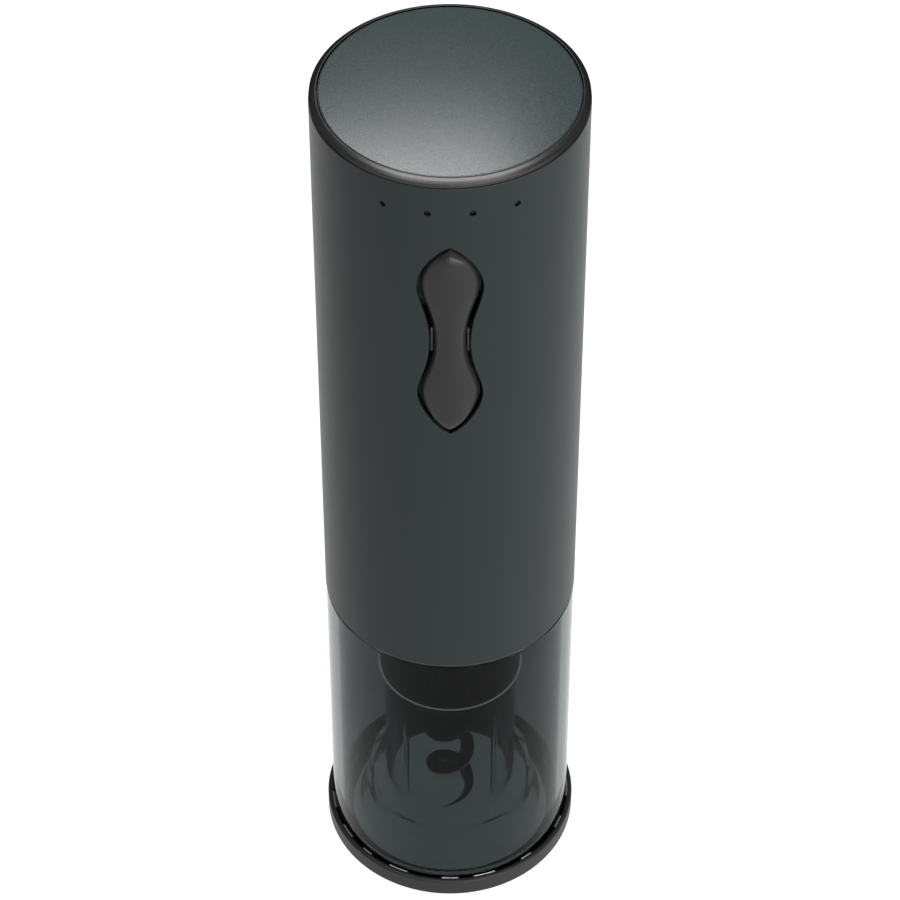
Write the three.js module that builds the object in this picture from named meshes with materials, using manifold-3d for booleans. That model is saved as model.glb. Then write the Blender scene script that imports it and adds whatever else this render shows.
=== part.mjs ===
// Electric wine opener: a slim cylinder that stands on its bottle opening.
//
// Frame: millimetres, +Z up, origin on the axis at the underside, the rocker button faces -Y.
// From the bottom: a clear bottle chamber with a steel worm in it, a threaded sleeve that feeds
// the worm, a three-stage planetary gearbox, a motor, and a rechargeable cell under the top cap.
import * as THREE from "three";
import { mergeVertices } from "three/addons/utils/BufferGeometryUtils.js";
import Module from "manifold-3d";

const wasm = await Module();
wasm.setup();

// ---- driving dimensions -------------------------------------------------------------------
const TOTAL_HEIGHT = 191.4;
const BODY_R = 24.25; // outside of the aluminium tube
const BODY_WALL = 1.0;
const BODY_BOTTOM = 69.84;
const BODY_TOP = 189.9;
const BASE_R = 25.35; // foot ring, the widest part
const BASE_BOTTOM = 0.3; // its rubber pad stands that much proud
const BASE_TOP = 4.3;
const SEAT_Z = 2.2; // floor of the foot ring's pocket
const PAD_INNER_R = 20.9;
const PAD_OUTER_R = 23.0;
const PAD_TOP = 0.9;
const PAD_SLACK = 0.2; // round the pad in its groove
const GAP = 0.3; // between neighbours that touch on the real object
const FIT = 0.1; // between parallel faces of stacked pieces

const SLEEVE_R = 24.15; // clear outer sleeve
const SLEEVE_WALL = 2.0;
const SLEEVE_STEP_Z = 69.3; // above it the sleeve is thinner and stands inside the body tube
const SLEEVE_NECK_R = 23.0;
const SLEEVE_TOP = 74;
const FLANGE_R = 21.85; // of the nose and of the bell's foot, inside the sleeve
const MOUTH_R = 20.2; // hole in the foot ring that the bottle neck enters
const LIP_R = 15.9; // pocket for the lip of the bottle
const LIP_STOP = 11.3; // height of the ledge that rests on the lip
const CORK_R = 12.0; // bore of the tube that holds the drawn cork
const CORK_WALL = 1.2;
const CORK_TUBE_TOP = 48.9;
const NOSE_R = 14.06; // black nose above the cork tube
const NOSE_BOTTOM = 45.6;

const WORM_TIP = 5.7;
const WORM_PITCH = 10.5;
const WORM_RADIUS = 3.6; // of the wire's centreline
const WIRE_R = 1.4;
const WORM_TIP_ANGLE = -105; // degrees from +X, so the point lies just left of the front
const FEED = 2 * WORM_PITCH; // travel of the worm
const CARRIAGE_BOTTOM = 77;
const CARRIAGE_LENGTH = 12;
const SHANK_BOTTOM = 72;
const SHANK_TOP = CARRIAGE_BOTTOM + 4;
const PIN_Z = CARRIAGE_BOTTOM + 6.5;

const BUTTON_Z = 154.65;
const BUTTON_HALF_LENGTH = 22.15;
const BUTTON_LOBE = 5.8; // half width of the opening at its two lobes
const BUTTON_WAIST = 3.6;
const BUTTON_LOBE_Z = 12.7; // from the middle to the widest place
const BUTTON_CLEARANCE = 0.55;
const PIVOT_Y = -20.6;
const SWITCH_OFFSET = 11;

const LED_Z = 184.25;
const LED_ANGLES = [-28, -9.1, 9.1, 28]; // degrees round from the front
const LED_HOLE_R = 0.6;
const PORT_Z = 178;

// Planetary stages, all alike in the tooth numbers.
const TOOTH_MODULE = 0.75;
const SUN_TEETH = 12;
const PLANET_TEETH = 12;
const RING_TEETH = SUN_TEETH + 2 * PLANET_TEETH;
const CENTRE_DISTANCE = (TOOTH_MODULE * (SUN_TEETH + PLANET_TEETH)) / 2;
const PLANET_ANGLES = [90, 210, 330];
const PRESSURE_ANGLE = (25 * Math.PI) / 180;
const ADDENDUM = 0.68;
const DEDENDUM = 0.95;
const BACKLASH = 0.14;
const GEARBOX_R = 17;

const ROUND = 36; // facets of the outer shells
const INNER = 24; // facets of what is inside them
const SMALL = 12; // facets of shafts and small bores
const deg = Math.PI / 180;

// ---- solids -------------------------------------------------------------------------------
function toSolid(geometry) {
  const bare = geometry.index ? geometry.toNonIndexed() : geometry.clone();
  bare.deleteAttribute("normal");
  bare.deleteAttribute("uv");
  const merged = mergeVertices(bare, 1e-4);
  return new wasm.Manifold(
    new wasm.Mesh({
      numProp: 3,
      vertProperties: new Float32Array(merged.attributes.position.array),
      triVerts: new Uint32Array(merged.index.array),
    }),
  );
}

function toGeometry(solid) {
  const mesh = solid.getMesh();
  const points = new Float32Array(mesh.numVert * 3);
  for (let i = 0; i < mesh.numVert; i++) {
    const start = i * mesh.numProp;
    points.set(mesh.vertProperties.subarray(start, start + 3), i * 3);
  }
  const geometry = new THREE.BufferGeometry();
  geometry.setAttribute("position", new THREE.BufferAttribute(points, 3));
  geometry.setIndex(new THREE.BufferAttribute(new Uint32Array(mesh.triVerts), 1));
  return geometry.toNonIndexed();
}

const join = (first, ...others) =>
  toGeometry(others.reduce((sum, g) => sum.add(toSolid(g)), toSolid(first)));

const cut = (first, ...tools) =>
  toGeometry(tools.reduce((rest, g) => rest.subtract(toSolid(g)), toSolid(first)));

const common = (first, second) => toGeometry(toSolid(first).intersect(toSolid(second)));

// A solid of revolution about Z from a closed outline of [radius, height] points.
function revolve(outline, facets = ROUND) {
  const closed = [...outline, outline[0]];
  const area = closed
    .slice(1)
    .reduce((sum, [r, z], i) => sum + closed[i][0] * z - r * closed[i][1], 0);
  const points = (area > 0 ? closed : closed.reverse()).map(([r, z]) => new THREE.Vector2(r, z));
  return new THREE.LatheGeometry(points, facets).rotateX(Math.PI / 2);
}

const tube = (inner, outer, low, high, facets = ROUND) =>
  revolve([[inner, low], [outer, low], [outer, high], [inner, high]], facets);

const rod = (radius, low, high, facets = SMALL) =>
  new THREE.CylinderGeometry(radius, radius, high - low, facets)
    .rotateX(Math.PI / 2)
    .translate(0, 0, (low + high) / 2);

// A box from its lowest to its highest corner.
function box([x0, y0, z0], [x1, y1, z1]) {
  const size = [x1 - x0, y1 - y0, z1 - z0];
  const middle = [(x0 + x1) / 2, (y0 + y1) / 2, (z0 + z1) / 2];
  return new THREE.BoxGeometry(...size).translate(...middle);
}

// An outline in XY made into a prism between two heights.
const prism = (shape, low, high) =>
  new THREE.ExtrudeGeometry(shape, { depth: high - low, bevelEnabled: false, curveSegments: 8 })
    .translate(0, 0, low);

// A round section of an even number of sides, swept along a curve.
function sweep(curve, radius, sides, steps) {
  const section = new THREE.Shape();
  section.absarc(0, 0, radius, 0, 2 * Math.PI);
  return new THREE.ExtrudeGeometry(section, {
    extrudePath: curve,
    steps,
    curveSegments: sides / 2,
    bevelEnabled: false,
  });
}

// A soft wire through a few places.
const wire = (places, radius, steps = 8) =>
  sweep(new THREE.CatmullRomCurve3(places.map((p) => new THREE.Vector3(...p))), radius, 6, steps);

const turned = (geometry, degrees) => geometry.clone().rotateZ(degrees * deg);

// Half a turn about the line through the pivot's height that faces the front.
const turnedOver = (geometry) =>
  geometry.clone().translate(0, 0, -BUTTON_Z).rotateY(Math.PI).translate(0, 0, BUTTON_Z);

// ---- gears --------------------------------------------------------------------------------
const involute = (angle) => Math.tan(angle) - angle;

// Outline of a gear with straight flanks on the involute's chord. A ring gear's tooth spaces are
// the same outline with its own addendum and dedendum exchanged and widened by the backlash.
function gearOutline(teeth, phase, outward, inward, slack) {
  const pitchR = (TOOTH_MODULE * teeth) / 2;
  const baseR = pitchR * Math.cos(PRESSURE_ANGLE);
  const halfTooth = Math.PI / (2 * teeth) + slack / (2 * pitchR);
  const half = (r) =>
    halfTooth + involute(PRESSURE_ANGLE) - involute(Math.acos(Math.min(1, baseR / r)));
  const tipR = pitchR + outward;
  const rootR = pitchR - inward;
  const points = [];
  for (let i = 0; i < teeth; i++) {
    const middle = phase + (2 * Math.PI * i) / teeth;
    for (const [r, side] of [[rootR, -1], [tipR, -1], [tipR, 1], [rootR, 1]]) {
      const a = middle + side * half(Math.max(r, baseR));
      points.push(new THREE.Vector2(r * Math.cos(a), r * Math.sin(a)));
    }
  }
  return points;
}

const addendum = ADDENDUM * TOOTH_MODULE;
const dedendum = DEDENDUM * TOOTH_MODULE;

const gear = (teeth, phase, low, high) =>
  prism(new THREE.Shape(gearOutline(teeth, phase, addendum, dedendum, -BACKLASH)), low, high);

// The planet's turn that puts its tooth space on the sun's tooth.
function planetPhase(place) {
  const sunPhase = (place * SUN_TEETH) / (2 * Math.PI);
  return place + Math.PI - ((0.5 - (sunPhase % 1)) * 2 * Math.PI) / PLANET_TEETH;
}

function planet(angle, low, high) {
  const place = angle * deg;
  const blank = gear(PLANET_TEETH, planetPhase(place), low, high);
  return cut(blank, rod(1.6, low - 1, high + 1, SMALL)).translate(
    CENTRE_DISTANCE * Math.cos(place),
    CENTRE_DISTANCE * Math.sin(place),
    0,
  );
}

// A plate with three planet pins above it and, below it, what it drives.
function carrier(plateLow, plateHigh, pinTop, pinR, driven) {
  const pins = PLANET_ANGLES.map((angle) =>
    rod(pinR, plateLow + 0.5, pinTop, SMALL).translate(
      CENTRE_DISTANCE * Math.cos(angle * deg),
      CENTRE_DISTANCE * Math.sin(angle * deg),
      0,
    ),
  );
  return join(rod(12.4, plateLow, plateHigh, INNER), ...pins, driven);
}

// Heights of the three stages, top (motor side) to bottom (worm side).
const STAGES = [
  { name: "first", planets: [108.4, 111.8], finish: "gear_white" },
  { name: "second", planets: [102.7, 106.2], finish: "gear_white" },
  { name: "third", planets: [95.4, 100.2], finish: "zinc" },
];

function ringGear() {
  const place = PLANET_ANGLES[0] * deg;
  const outward = ((place - planetPhase(place)) * PLANET_TEETH) / (2 * Math.PI);
  const phase = place - (outward * 2 * Math.PI) / RING_TEETH;
  const spaces = gearOutline(RING_TEETH, phase, dedendum, addendum, BACKLASH);
  const bore = prism(new THREE.Shape(spaces), 91, 115);
  const keys = [0, 180].map((angle) => turned(box([16, -1.6, 94], [20.5, 1.6, 112]), angle));
  return cut(join(rod(GEARBOX_R, 92.4, 113.2, INNER), ...keys), bore);
}

const firstCarrier = () =>
  carrier(106.6, 108.1, 111.5, 1.3, gear(SUN_TEETH, 0, 102.5, 107.5));

const secondCarrier = () =>
  carrier(100.8, 102.3, 105.9, 1.3, gear(SUN_TEETH, 0, 95.5, 101.5));

// The slotted tube that turns the worm; its flange carries the third stage's planets.
function driveTube() {
  const barrel = tube(6.4, 8.6, 59.2, 93.5, INNER);
  const body = carrier(93.0, 94.9, 99.9, 1.3, barrel);
  const slot = box([-9.5, -1.4, PIN_Z - FEED - 1.8], [9.5, 1.4, PIN_Z + 1.8]);
  return cut(body, slot);
}

const motorPinion = () =>
  cut(gear(SUN_TEETH, 0, 108.3, 112), rod(1.3, 107, 113, SMALL));

// ---- worm and its feed --------------------------------------------------------------------
const STEPS_PER_TURN = 12;

// A right-handed helix about Z that can close in on the axis over its last part.
class Helix extends THREE.Curve {
  constructor({ radius, pitch, from, turns, angle, closing = 0 }) {
    super();
    Object.assign(this, { radius, pitch, from, turns, angle, closing });
  }

  getPoint(t, target = new THREE.Vector3()) {
    const turn = t * this.turns;
    const left = this.closing > 0 ? Math.min(1, (this.turns - turn) / this.closing) : 1;
    const radius = this.radius * left * (2 - left);
    const angle = this.angle + turn * 2 * Math.PI;
    return target.set(
      radius * Math.cos(angle),
      radius * Math.sin(angle),
      this.from + turn * this.pitch,
    );
  }
}

// Steel worm: a helix whose wire is ground to a point at its outer side, and a shank on the axis.
function worm() {
  const turns = (SHANK_BOTTOM - WORM_TIP) / WORM_PITCH;
  const coil = new Helix({
    radius: WORM_RADIUS,
    pitch: WORM_PITCH,
    from: WORM_TIP,
    turns,
    angle: WORM_TIP_ANGLE * deg,
    closing: 0.6,
  });
  const outer = WORM_RADIUS + WIRE_R;
  const ground = new THREE.Shape();
  ground.moveTo(outer, 0);
  ground.lineTo(outer * 0.22, outer * 0.38);
  ground.lineTo(0, 0);
  ground.lineTo(0, -1);
  ground.lineTo(outer + 1, -1);
  const tip = turned(prism(ground, WORM_TIP - 3, WORM_TIP + 4), WORM_TIP_ANGLE);
  const wound = cut(sweep(coil, WIRE_R, 6, Math.round(turns * STEPS_PER_TURN)), tip);
  return join(wound, rod(WIRE_R, SHANK_BOTTOM - 0.8, SHANK_TOP, 8));
}

// The pin's hole lies above the shank's socket.
const acrossCarriage = (radius, halfLength) =>
  rod(radius, -halfLength, halfLength, SMALL).rotateY(Math.PI / 2).translate(0, 0, PIN_Z);

function wormCarriage() {
  const z = CARRIAGE_BOTTOM;
  const top = z + CARRIAGE_LENGTH;
  const blank = revolve([[0, z], [4.6, z], [6.1, z + 1.5], [6.1, top], [0, top]], INNER);
  return cut(blank, rod(WIRE_R + GAP, z - 1, SHANK_TOP + GAP, SMALL), acrossCarriage(1.3, 8));
}

// Its ends run in the fixed sleeve's helical grooves.
const carriagePin = () => acrossCarriage(1.0, 10);

// The fixed sleeve with one helical groove for each end of the pin and a ring groove below, where
// the pin runs round without feeding once the worm is down.
function helixSleeve() {
  const blank = join(tube(8.9, 12.6, 58.9, 91, INNER), tube(8.9, GEARBOX_R, 90, 92.1, INNER));
  const spare = 1 / STEPS_PER_TURN; // of a turn past each end
  const grooves = [0, 180].map((start) => {
    const turns = FEED / WORM_PITCH + 2 * spare;
    const path = new Helix({
      radius: 9.6,
      pitch: WORM_PITCH,
      from: PIN_Z - FEED - spare * WORM_PITCH,
      turns,
      angle: start * deg - spare * 2 * Math.PI,
    });
    return sweep(path, 1.8, 6, Math.round(turns * STEPS_PER_TURN));
  });
  const idle = tube(8, 11.3, PIN_Z - FEED - 1.6, PIN_Z - FEED + 1.6, INNER);
  return cut(blank, ...grooves, idle);
}

const thrustWasher = () => tube(9.0, 12.3, 92.3, 92.8, INNER);

// ---- clear chamber and foot ---------------------------------------------------------------
const basePad = () => tube(PAD_INNER_R, PAD_OUTER_R, 0, PAD_TOP);

// The foot ring has a groove for the pad below and a pocket for the sleeve and the bell above.
function baseRing() {
  const grooveInner = PAD_INNER_R - PAD_SLACK;
  const grooveOuter = PAD_OUTER_R + PAD_SLACK;
  const grooveTop = PAD_TOP + PAD_SLACK;
  const pocketR = SLEEVE_R + GAP;
  const chamfer = 0.35;
  return revolve([
    [MOUTH_R, BASE_BOTTOM], [grooveInner, BASE_BOTTOM], [grooveInner, grooveTop],
    [grooveOuter, grooveTop], [grooveOuter, BASE_BOTTOM], [BASE_R - chamfer, BASE_BOTTOM],
    [BASE_R, BASE_BOTTOM + chamfer], [BASE_R, BASE_TOP - chamfer], [BASE_R - chamfer, BASE_TOP],
    [pocketR, BASE_TOP], [pocketR, SEAT_Z], [MOUTH_R, SEAT_Z],
  ]);
}

function clearSleeve() {
  const inner = SLEEVE_R - SLEEVE_WALL;
  const bottom = SEAT_Z + GAP;
  return revolve([
    [inner, bottom], [SLEEVE_R, bottom], [SLEEVE_R, SLEEVE_STEP_Z], [SLEEVE_NECK_R, SLEEVE_STEP_Z],
    [SLEEVE_NECK_R, SLEEVE_TOP], [inner, SLEEVE_TOP],
  ]);
}

const sleeveSeal = () =>
  tube(SLEEVE_NECK_R + FIT, SLEEVE_R - FIT, SLEEVE_STEP_Z + FIT, BODY_BOTTOM - FIT);

// Cork tube and bell in one clear moulding, with four ribs that keep the cork from turning.
function bottleGuide() {
  const outer = CORK_R + CORK_WALL;
  const foot = SEAT_Z + GAP;
  const footTop = 3.9;
  const bellR = 17.3;
  const bellTop = 12.8;
  const shell = revolve([
    [CORK_R, LIP_STOP], [LIP_R, LIP_STOP], [LIP_R, 8], [17.6, foot], [FLANGE_R, foot],
    [FLANGE_R, footTop], [18.9, footTop], [bellR, 9], [bellR, bellTop - 0.8],
    [bellR - 0.8, bellTop], [outer, bellTop], [outer, CORK_TUBE_TOP], [CORK_R, CORK_TUBE_TOP],
  ]);
  const rib = box([CORK_R - 0.6, -0.4, 14], [CORK_R + 0.4, 0.4, 44]);
  return join(shell, ...[45, 135, 225, 315].map((angle) => turned(rib, angle)));
}

// Black nose: collar over the cork tube, a flare, and the flange that closes the chamber.
function noseHousing() {
  const collarBore = CORK_R + CORK_WALL + GAP;
  const collarTop = CORK_TUBE_TOP + GAP;
  const flareR = 18.6;
  const flangeLow = 66.2;
  const flangeHigh = 73.6;
  const cupR = 20.4;
  const cupFloor = 68.6;
  const sleeveSocketR = 12.9; // takes the fixed helical sleeve
  const shelfHigh = 58.6;
  const shelfLow = 57.4;
  const throatR = 9.2; // takes the drive tube
  const corkR = CORK_R + FIT;
  return revolve([
    [collarBore, NOSE_BOTTOM], [NOSE_R, NOSE_BOTTOM], [NOSE_R, 56], [flareR, 62],
    [flareR, flangeLow], [FLANGE_R, flangeLow], [FLANGE_R, flangeHigh], [cupR, flangeHigh],
    [cupR, cupFloor], [sleeveSocketR, cupFloor], [sleeveSocketR, shelfHigh], [throatR, shelfHigh],
    [throatR, shelfLow], [corkR, shelfLow], [corkR, collarTop], [collarBore, collarTop],
  ]);
}

// ---- button -------------------------------------------------------------------------------
// Hourglass outline in the XZ plane, `inset` smaller than the opening all round.
function hourglass(inset) {
  const lobe = BUTTON_LOBE - inset;
  const waist = BUTTON_WAIST - inset * 1.6;
  const end = BUTTON_HALF_LENGTH - inset;
  const shape = new THREE.Shape();
  shape.moveTo(waist, 0);
  shape.bezierCurveTo(waist, 6.5, lobe, 9, lobe, BUTTON_LOBE_Z);
  shape.bezierCurveTo(lobe, 16.5, 2.6, 20.9 - inset, 0, end);
  shape.bezierCurveTo(-2.6, 20.9 - inset, -lobe, 16.5, -lobe, BUTTON_LOBE_Z);
  shape.bezierCurveTo(-lobe, 9, -waist, 6.5, -waist, 0);
  shape.bezierCurveTo(-waist, -6.5, -lobe, -9, -lobe, -BUTTON_LOBE_Z);
  shape.bezierCurveTo(-lobe, -16.5, -2.6, inset - 20.9, 0, -end);
  shape.bezierCurveTo(2.6, inset - 20.9, lobe, -16.5, lobe, -BUTTON_LOBE_Z);
  shape.bezierCurveTo(lobe, -9, waist, -6.5, waist, 0);
  return shape;
}

// The hourglass as a prism along Y, from the near face `front` back to `back`.
function hourglassPrism(inset, front, back, curveSegments) {
  return new THREE.ExtrudeGeometry(hourglass(inset), {
    depth: back - front,
    bevelEnabled: false,
    curveSegments,
  })
    .rotateX(Math.PI / 2)
    .translate(0, back, BUTTON_Z);
}

const acrossPivot = (radius, halfLength) =>
  rod(radius, -halfLength, halfLength, SMALL).rotateY(Math.PI / 2).translate(0, PIVOT_Y, BUTTON_Z);

function rockerButton() {
  const plateBack = -22.4;
  const backFace = plateBack - 0.2; // the hub and the feet start inside the plate
  const proud = 1.0;
  const face = common(
    hourglassPrism(BUTTON_CLEARANCE, -27, plateBack, 5),
    rod(BODY_R + proud, 120, 190, 64),
  );
  const hub = box([-2.2, backFace, BUTTON_Z - 2.6], [2.2, -19.3, BUTTON_Z + 2.6]);
  const feet = [-1, 1].map((side) =>
    box([-1.5, backFace, switchZ(side) - 1.2], [1.5, -19.9, switchZ(side) + 1.2]),
  );
  return cut(join(face, hub, ...feet), acrossPivot(1.0, 10));
}

const rockerPin = () => acrossPivot(0.75, 8.4);

// ---- shell and top ------------------------------------------------------------------------
// A slot outline with round ends, made into a bar along Y from `front` to `back`.
function slotBar(halfStraight, radius, front, back) {
  const outline = new THREE.Shape();
  outline.absarc(-halfStraight, 0, radius, Math.PI / 2, (3 * Math.PI) / 2);
  outline.absarc(halfStraight, 0, radius, -Math.PI / 2, Math.PI / 2);
  return new THREE.ExtrudeGeometry(outline, {
    depth: back - front,
    bevelEnabled: false,
    curveSegments: 5,
  })
    .rotateX(Math.PI / 2)
    .translate(0, back, PORT_Z);
}

function bodyShell() {
  const blank = tube(BODY_R - BODY_WALL, BODY_R, BODY_BOTTOM, BODY_TOP);
  const ledHoles = LED_ANGLES.map((angle) =>
    turned(rod(LED_HOLE_R, 20, 27, 10).rotateX(Math.PI / 2).translate(0, 0, LED_Z), angle),
  );
  return cut(blank, hourglassPrism(0, -27, -20, 6), slotBar(3.0, 1.9, 20, 27), ...ledHoles);
}

// The ring's skirt goes into the body tube and its shelf carries the disc.
function topRing() {
  const outer = BODY_R - FIT;
  const low = BODY_TOP + FIT;
  const skirtR = 22.95;
  const skirtLow = 185.9;
  const shelfR = 15;
  const shelfHigh = 190.4;
  const discBore = 22.9;
  return revolve([
    [shelfR, shelfHigh - 1], [22.0, shelfHigh - 1], [22.0, skirtLow], [skirtR, skirtLow],
    [skirtR, low], [outer, low], [outer, 190.6], [23.9, 190.8], [skirtR, TOTAL_HEIGHT],
    [discBore, TOTAL_HEIGHT], [discBore, shelfHigh], [shelfR, shelfHigh],
  ]);
}

function topDisc() {
  const radius = 22.7;
  const low = 190.6;
  const high = 191.3;
  const chamfer = 0.2;
  return revolve([
    [0, low], [radius, low], [radius, high - chamfer], [radius - chamfer, high], [0, high],
  ]);
}

// ---- inner frame --------------------------------------------------------------------------
const FRAME_SHELVES = [
  { low: 88.3, high: 89.9, hole: 12.9 }, // under the gearbox
  { low: 114.7, high: 116.2, hole: 12.5 }, // round the motor
  { low: 146.4, high: 147.9, hole: 8.0 }, // between the motor and the cell
  { low: 183.7, high: 185.2, hole: 7.0 }, // over the cell
];
const SCREW_X = 17.9;
const SCREW_HEIGHTS = [80, 166];

function framePlate({ low, high, hole }) {
  return tube(hole, 21.5, low, high, INNER);
}

// One half of the frame: +1 for the rear half, -1 for the front one.
function halfFrame(side) {
  const shell = join(tube(20.9, 22.4, 74.3, 185.5, INNER), ...FRAME_SHELVES.map(framePlate));
  const boss = (z) => box([SCREW_X - 2, -5, z - 2.2], [SCREW_X + 3.4, 5, z + 2.2]);
  const keyRibs = [-1, 1].map((y) => box([18, y * 2.65 - 0.75, 93], [21.3, y * 2.65 + 0.75, 112]));
  const oneSide = [...SCREW_HEIGHTS.map(boss), ...keyRibs];
  const bosses = [...oneSide, ...oneSide.map((g) => turned(g, 180))];
  const [y0, y1] = side > 0 ? [GAP / 2, 30] : [-30, -GAP / 2];
  const half = common(join(shell, ...bosses), box([-30, y0, 70], [30, y1, 190]));
  const holes = SCREW_HEIGHTS.flatMap((z) =>
    [-1, 1].map((x) =>
      rod(1.15, -6, 6, 10).rotateX(Math.PI / 2).translate(x * SCREW_X, 0, z),
    ),
  );
  return cut(half, ...holes);
}

// The rear half has a window for the charging socket and two cradles for the cell.
function frameRear() {
  const cradles = [154, 169].map((z) => box([-10.5, 2, z], [10.5, 20.5, z + 1.5]));
  const seat = rod(CELL_R + GAP, 150, 175, INNER).translate(0, CELL_Y, 0);
  const carried = cradles.map((plate) => common(cut(plate, seat), rod(22.2, 120, 190, INNER)));
  const socketWindow = box([-5.2, 15, PORT_Z - 2.6], [5.2, 25, PORT_Z + 2.6]);
  return cut(join(halfFrame(1), ...carried), socketWindow);
}

// The front half has a window for the board and two ears for the rocker's pin, each with a lug
// that fills part of the opening beside the button's waist.
function frameFront() {
  const windowed = cut(
    halfFrame(-1),
    box([-11.4, -25, 128.4], [11.4, -15.4, 188]),
    box([-14, -25, LED_Z - 1.8], [14, -15, 188]),
  );
  const ear = common(
    box([2.7, -21.9, BUTTON_Z - 2.4], [14, -17.4, BUTTON_Z + 2.4]),
    rod(22.2, 120, 190, INNER),
  );
  const lug = box([2.95, -23.2, BUTTON_Z - 2.4], [3.35, -21, BUTTON_Z + 2.4]);
  const right = join(ear, lug);
  return cut(join(windowed, right, turnedOver(right)), acrossPivot(1.05, 10));
}

function frameScrew(x, z) {
  return revolve([[0, -4.6], [0.8, -4.6], [0.8, 5.1], [1.7, 5.1], [1.7, 6.3], [0, 6.3]], 8)
    .rotateX(Math.PI / 2)
    .translate(x, 0, z);
}

// ---- motor --------------------------------------------------------------------------------
const MOTOR_R = 12.1;
const MOTOR_BOTTOM = 114.6;
const MOTOR_TOP = 145;
const MOTOR_SCREW_R = 8; // of the circle that the screws lie on
const MOTOR_SCREW_ANGLES = [0, 180];

const motorScrewHole = (angle) =>
  turned(rod(1.45, 112, 117, 10).translate(MOTOR_SCREW_R, 0, 0), angle);

function motorCan() {
  const blank = revolve(
    [
      [1.6, 113.2], [3.0, 113.2], [3.0, MOTOR_BOTTOM], [MOTOR_R, MOTOR_BOTTOM],
      [MOTOR_R, MOTOR_TOP], [MOTOR_R - 0.9, MOTOR_TOP], [MOTOR_R - 0.9, 115.6], [1.6, 115.6],
    ],
    INNER,
  );
  return cut(blank, ...MOTOR_SCREW_ANGLES.map(motorScrewHole));
}

const motorMagnet = () => tube(9.5, 10.9, 119.5, 139.5, INNER);

// Shaft, three-pole armature and commutator.
function motorRotor() {
  const stackLow = 121;
  const stackHigh = 138;
  const pole = box([-2, 0, stackLow], [2, 8.2, stackHigh]);
  const poles = [30, 150, 270].map((angle) => turned(pole, angle));
  const shaft = rod(1.15, 108.5, 146, SMALL);
  const core = rod(4.2, stackLow, stackHigh, SMALL);
  const commutator = rod(2.6, 139, 142.6, SMALL);
  return join(shaft, core, ...poles, commutator);
}

const motorEndBell = () =>
  revolve(
    [[1.6, 143], [10.9, 143], [10.9, 145.2], [MOTOR_R, 145.2], [MOTOR_R, 146], [1.6, 146]],
    INNER,
  );

const motorPlate = () =>
  cut(tube(3.3, 16.8, 113.5, 114.4, INNER), ...MOTOR_SCREW_ANGLES.map(motorScrewHole));

function motorScrew(angle) {
  return turned(
    join(rod(1.15, 112.8, 115.3, 10), rod(2.1, 112.3, 113.3, 10)).translate(MOTOR_SCREW_R, 0, 0),
    angle,
  );
}

// ---- electrics ----------------------------------------------------------------------------
const BOARD_FRONT = -17.0;
const BOARD_BACK = -15.9;
const CELL_Y = 2.5;
const CELL_R = 8.2;
const CELL_BOTTOM = 148.4;
const CELL_TOP = 183.0;

const mainBoard = () => box([-11, BOARD_FRONT, 129], [11, BOARD_BACK, 187]);

const ledLamp = (angle) => {
  const x = 19 * Math.sin(angle * deg);
  return box([x - 0.8, BOARD_FRONT - 1, LED_Z - 0.6], [x + 0.8, BOARD_FRONT - FIT, LED_Z + 0.6]);
};

// A clear bar behind the four holes, with a peg into each.
function lightGuide() {
  const bar = common(
    tube(20.9, 22.3, LED_Z - 1.3, LED_Z + 1.3),
    box([-12.6, -25, LED_Z - 2], [12.6, -10, LED_Z + 2]),
  );
  const pegs = LED_ANGLES.map((angle) =>
    turned(rod(0.42, 21.6, 23.8, 8).rotateX(Math.PI / 2).translate(0, 0, LED_Z), angle),
  );
  return join(bar, ...pegs);
}

const switchZ = (side) => BUTTON_Z + side * SWITCH_OFFSET;

function switchBase(side) {
  const z = switchZ(side);
  const body = box([-2.3, BOARD_FRONT - 1.7, z - 2.3], [2.3, BOARD_FRONT - FIT, z + 2.3]);
  const well = rod(1.3, 17.3, 19.5, SMALL).rotateX(Math.PI / 2).translate(0, 0, z);
  return cut(body, well);
}

const switchPlunger = (side) =>
  rod(1.0, 17.8, 19.2, SMALL).rotateX(Math.PI / 2).translate(0, 0, switchZ(side));

function batteryCell() {
  return revolve(
    [[0, CELL_BOTTOM], [CELL_R, CELL_BOTTOM], [CELL_R, CELL_TOP - 0.6], [CELL_R - 0.6, CELL_TOP],
      [3, CELL_TOP], [3, CELL_TOP + 0.5], [0, CELL_TOP + 0.5]],
    INNER,
  ).translate(0, CELL_Y, 0);
}

const chargeSocket = () =>
  join(
    cut(slotBar(2.9, 1.6, 19.2, 23.6), slotBar(2.9, 1.2, 20.6, 25)),
    box([-3.2, 20, PORT_Z - 0.35], [3.2, 23.2, PORT_Z + 0.35]),
  );

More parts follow.
